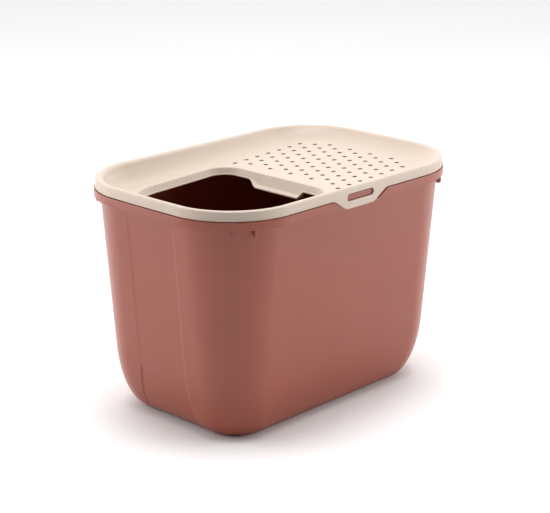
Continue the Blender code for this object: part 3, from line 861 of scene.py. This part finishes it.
def moulded_plastic(name, colour, shade, roughness):
    """Semi-gloss injection-moulded plastic.

    colour is the body colour and shade a slightly deeper one for its slow variation. The grain
    is the mould's fine spark texture, about half a millimetre across.
    """
    material = bpy.data.materials.new(name)
    material.use_nodes = True
    tree = material.node_tree
    shader = tree.nodes["Principled BSDF"]
    shader.inputs["IOR"].default_value = 1.49
    place = tree.nodes.new("ShaderNodeTexCoord")

    clouds = add_node(tree, "ShaderNodeTexNoise", Scale=CLOUD_SCALE, Detail=3.0, Roughness=0.5)
    tree.links.new(place.outputs["Object"], clouds.inputs["Vector"])
    tint = tree.nodes.new("ShaderNodeValToRGB")
    tint.color_ramp.elements[0].position = 0.30
    tint.color_ramp.elements[0].color = (*shade, 1.0)
    tint.color_ramp.elements[1].position = 0.72
    tint.color_ramp.elements[1].color = (*colour, 1.0)
    tree.links.new(clouds.outputs["Fac"], tint.inputs["Fac"])

    specks = add_node(tree, "ShaderNodeTexNoise", Scale=SPECK_SCALE, Detail=2.0, Roughness=0.6)
    tree.links.new(place.outputs["Object"], specks.inputs["Vector"])
    speck_mix = tree.nodes.new("ShaderNodeMix")
    speck_mix.data_type = "RGBA"
    speck_mix.blend_type = "MULTIPLY"
    speck_mix.inputs["Factor"].default_value = SPECK_STRENGTH
    tree.links.new(tint.outputs["Color"], speck_mix.inputs["A"])
    tree.links.new(specks.outputs["Color"], speck_mix.inputs["B"])
    tree.links.new(speck_mix.outputs["Result"], shader.inputs["Base Color"])

    sheen_spread = tree.nodes.new("ShaderNodeMapRange")
    sheen_spread.inputs["To Min"].default_value = roughness - 0.045
    sheen_spread.inputs["To Max"].default_value = roughness + 0.055
    tree.links.new(clouds.outputs["Fac"], sheen_spread.inputs["Value"])
    tree.links.new(sheen_spread.outputs["Result"], shader.inputs["Roughness"])

    grain = add_node(tree, "ShaderNodeTexNoise", Scale=GRAIN_SCALE, Detail=2.0, Roughness=0.55)
    tree.links.new(place.outputs["Object"], grain.inputs["Vector"])
    waves = add_node(tree, "ShaderNodeTexNoise", Scale=WAVE_SCALE, Detail=1.0, Roughness=0.4)
    tree.links.new(place.outputs["Object"], waves.inputs["Vector"])
    fine = add_node(tree, "ShaderNodeBump", Strength=0.30, Distance=GRAIN_HEIGHT)
    tree.links.new(grain.outputs["Fac"], fine.inputs["Height"])
    slow = add_node(tree, "ShaderNodeBump", Strength=0.5, Distance=WAVE_HEIGHT)
    tree.links.new(waves.outputs["Fac"], slow.inputs["Height"])
    tree.links.new(fine.outputs["Normal"], slow.inputs["Normal"])
    tree.links.new(slow.outputs["Normal"], shader.inputs["Normal"])
    return material


# ---------------------------------------------------------------- studio

def make_floor():
    """A wide pale floor."""
    bm = bmesh.new()
    for x, y in ((-1, -1), (1, -1), (1, 1), (-1, 1)):
        bm.verts.new((x * FLOOR_REACH, y * FLOOR_REACH, 0))
    bm.faces.new(bm.verts)
    mesh = bpy.data.meshes.new("floor")
    bm.to_mesh(mesh)
    bm.free()
    floor = new_object("floor", mesh)
    material = bpy.data.materials.new("floor_paint")
    material.use_nodes = True
    shader = material.node_tree.nodes["Principled BSDF"]
    shader.inputs["Base Color"].default_value = (FLOOR_WHITE, FLOOR_WHITE, FLOOR_WHITE, 1.0)
    shader.inputs["Roughness"].default_value = 0.9
    shader.inputs["Specular IOR Level"].default_value = 0.1
    mesh.materials.append(material)


def add_light(name, place, aim, size, power):
    """A soft rectangular light at place, facing aim."""
    data = bpy.data.lights.new(name, "AREA")
    data.shape = "RECTANGLE"
    data.size, data.size_y = size
    data.energy = power
    light = bpy.data.objects.new(name, data)
    light.location = place
    light.rotation_mode = "QUATERNION"
    light.rotation_quaternion = (Vector(aim) - Vector(place)).to_track_quat("-Z", "Y")
    bpy.context.scene.collection.objects.link(light)


def make_studio():
    """A white room with a dark side facing the near corner, and three large soft lights."""
    world = bpy.data.worlds.new("studio")
    world.use_nodes = True
    tree = world.node_tree
    background = tree.nodes["Background"]
    background.inputs["Color"].default_value = (1.0, 1.0, 1.0, 1.0)
    direction = tree.nodes.new("ShaderNodeTexCoord")
    towards_dark = tree.nodes.new("ShaderNodeVectorMath")
    towards_dark.operation = "DOT_PRODUCT"
    towards_dark.inputs[1].default_value = DARK_SIDE
    tree.links.new(direction.outputs["Generated"], towards_dark.inputs[0])
    fade = tree.nodes.new("ShaderNodeMapRange")
    fade.interpolation_type = "SMOOTHSTEP"
    fade.inputs["From Min"].default_value = DARK_SIDE_FADE[0]
    fade.inputs["From Max"].default_value = DARK_SIDE_FADE[1]
    fade.inputs["To Min"].default_value = ROOM_LIGHT
    fade.inputs["To Max"].default_value = 0.0
    tree.links.new(towards_dark.outputs["Value"], fade.inputs["Value"])
    tree.links.new(fade.outputs["Result"], background.inputs["Strength"])
    bpy.context.scene.world = world
    for name, (place, aim, size, power) in LIGHTS.items():
        add_light(name, place, aim, size, power)
    scene = bpy.context.scene
    scene.view_settings.view_transform = "Standard"
    scene.view_settings.look = "None"


def make_camera():
    """The camera, from the left of the near corner and a little above."""
    back = Vector((
        math.sin(CAMERA_AZIMUTH) * math.cos(CAMERA_ELEVATION),
        -math.cos(CAMERA_AZIMUTH) * math.cos(CAMERA_ELEVATION),
        math.sin(CAMERA_ELEVATION),
    ))
    level = (-back).cross(Vector((0, 0, 1))).normalized()
    upright = level.cross(-back)
    right = level * math.cos(CAMERA_ROLL) + upright * math.sin(CAMERA_ROLL)
    up = upright * math.cos(CAMERA_ROLL) - level * math.sin(CAMERA_ROLL)
    data = bpy.data.cameras.new("camera")
    data.sensor_width = 36.0
    data.lens = CAMERA_LENS
    data.clip_end = 60.0
    camera = bpy.data.objects.new("camera", data)
    place = CAMERA_TARGET + back * CAMERA_DISTANCE - right * CAMERA_ASIDE - up * CAMERA_ABOVE
    turn = Matrix((right, up, back)).transposed()
    camera.matrix_world = Matrix.Translation(place) @ turn.to_4x4()
    bpy.context.scene.collection.objects.link(camera)
    bpy.context.scene.camera = camera


def main():
    """Build every piece, light it and aim the camera."""
    terracotta = moulded_plastic("terracotta", *TERRACOTTA)
    cream = moulded_plastic("cream", *CREAM)

    tub = make_tub(terracotta)
    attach(tub, "tub")
    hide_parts("tub")

    lid = make_lid(cream)
    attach(lid, "lid")
    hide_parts("lid")

    for side, end in ((-1, "front"), (1, "back")):
        tab = make_tab(f"latch_{end}_plate", side, cream)
        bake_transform(tab)
        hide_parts(f"latch_tab_{end}")

    make_floor()
    make_studio()
    make_camera()


main()
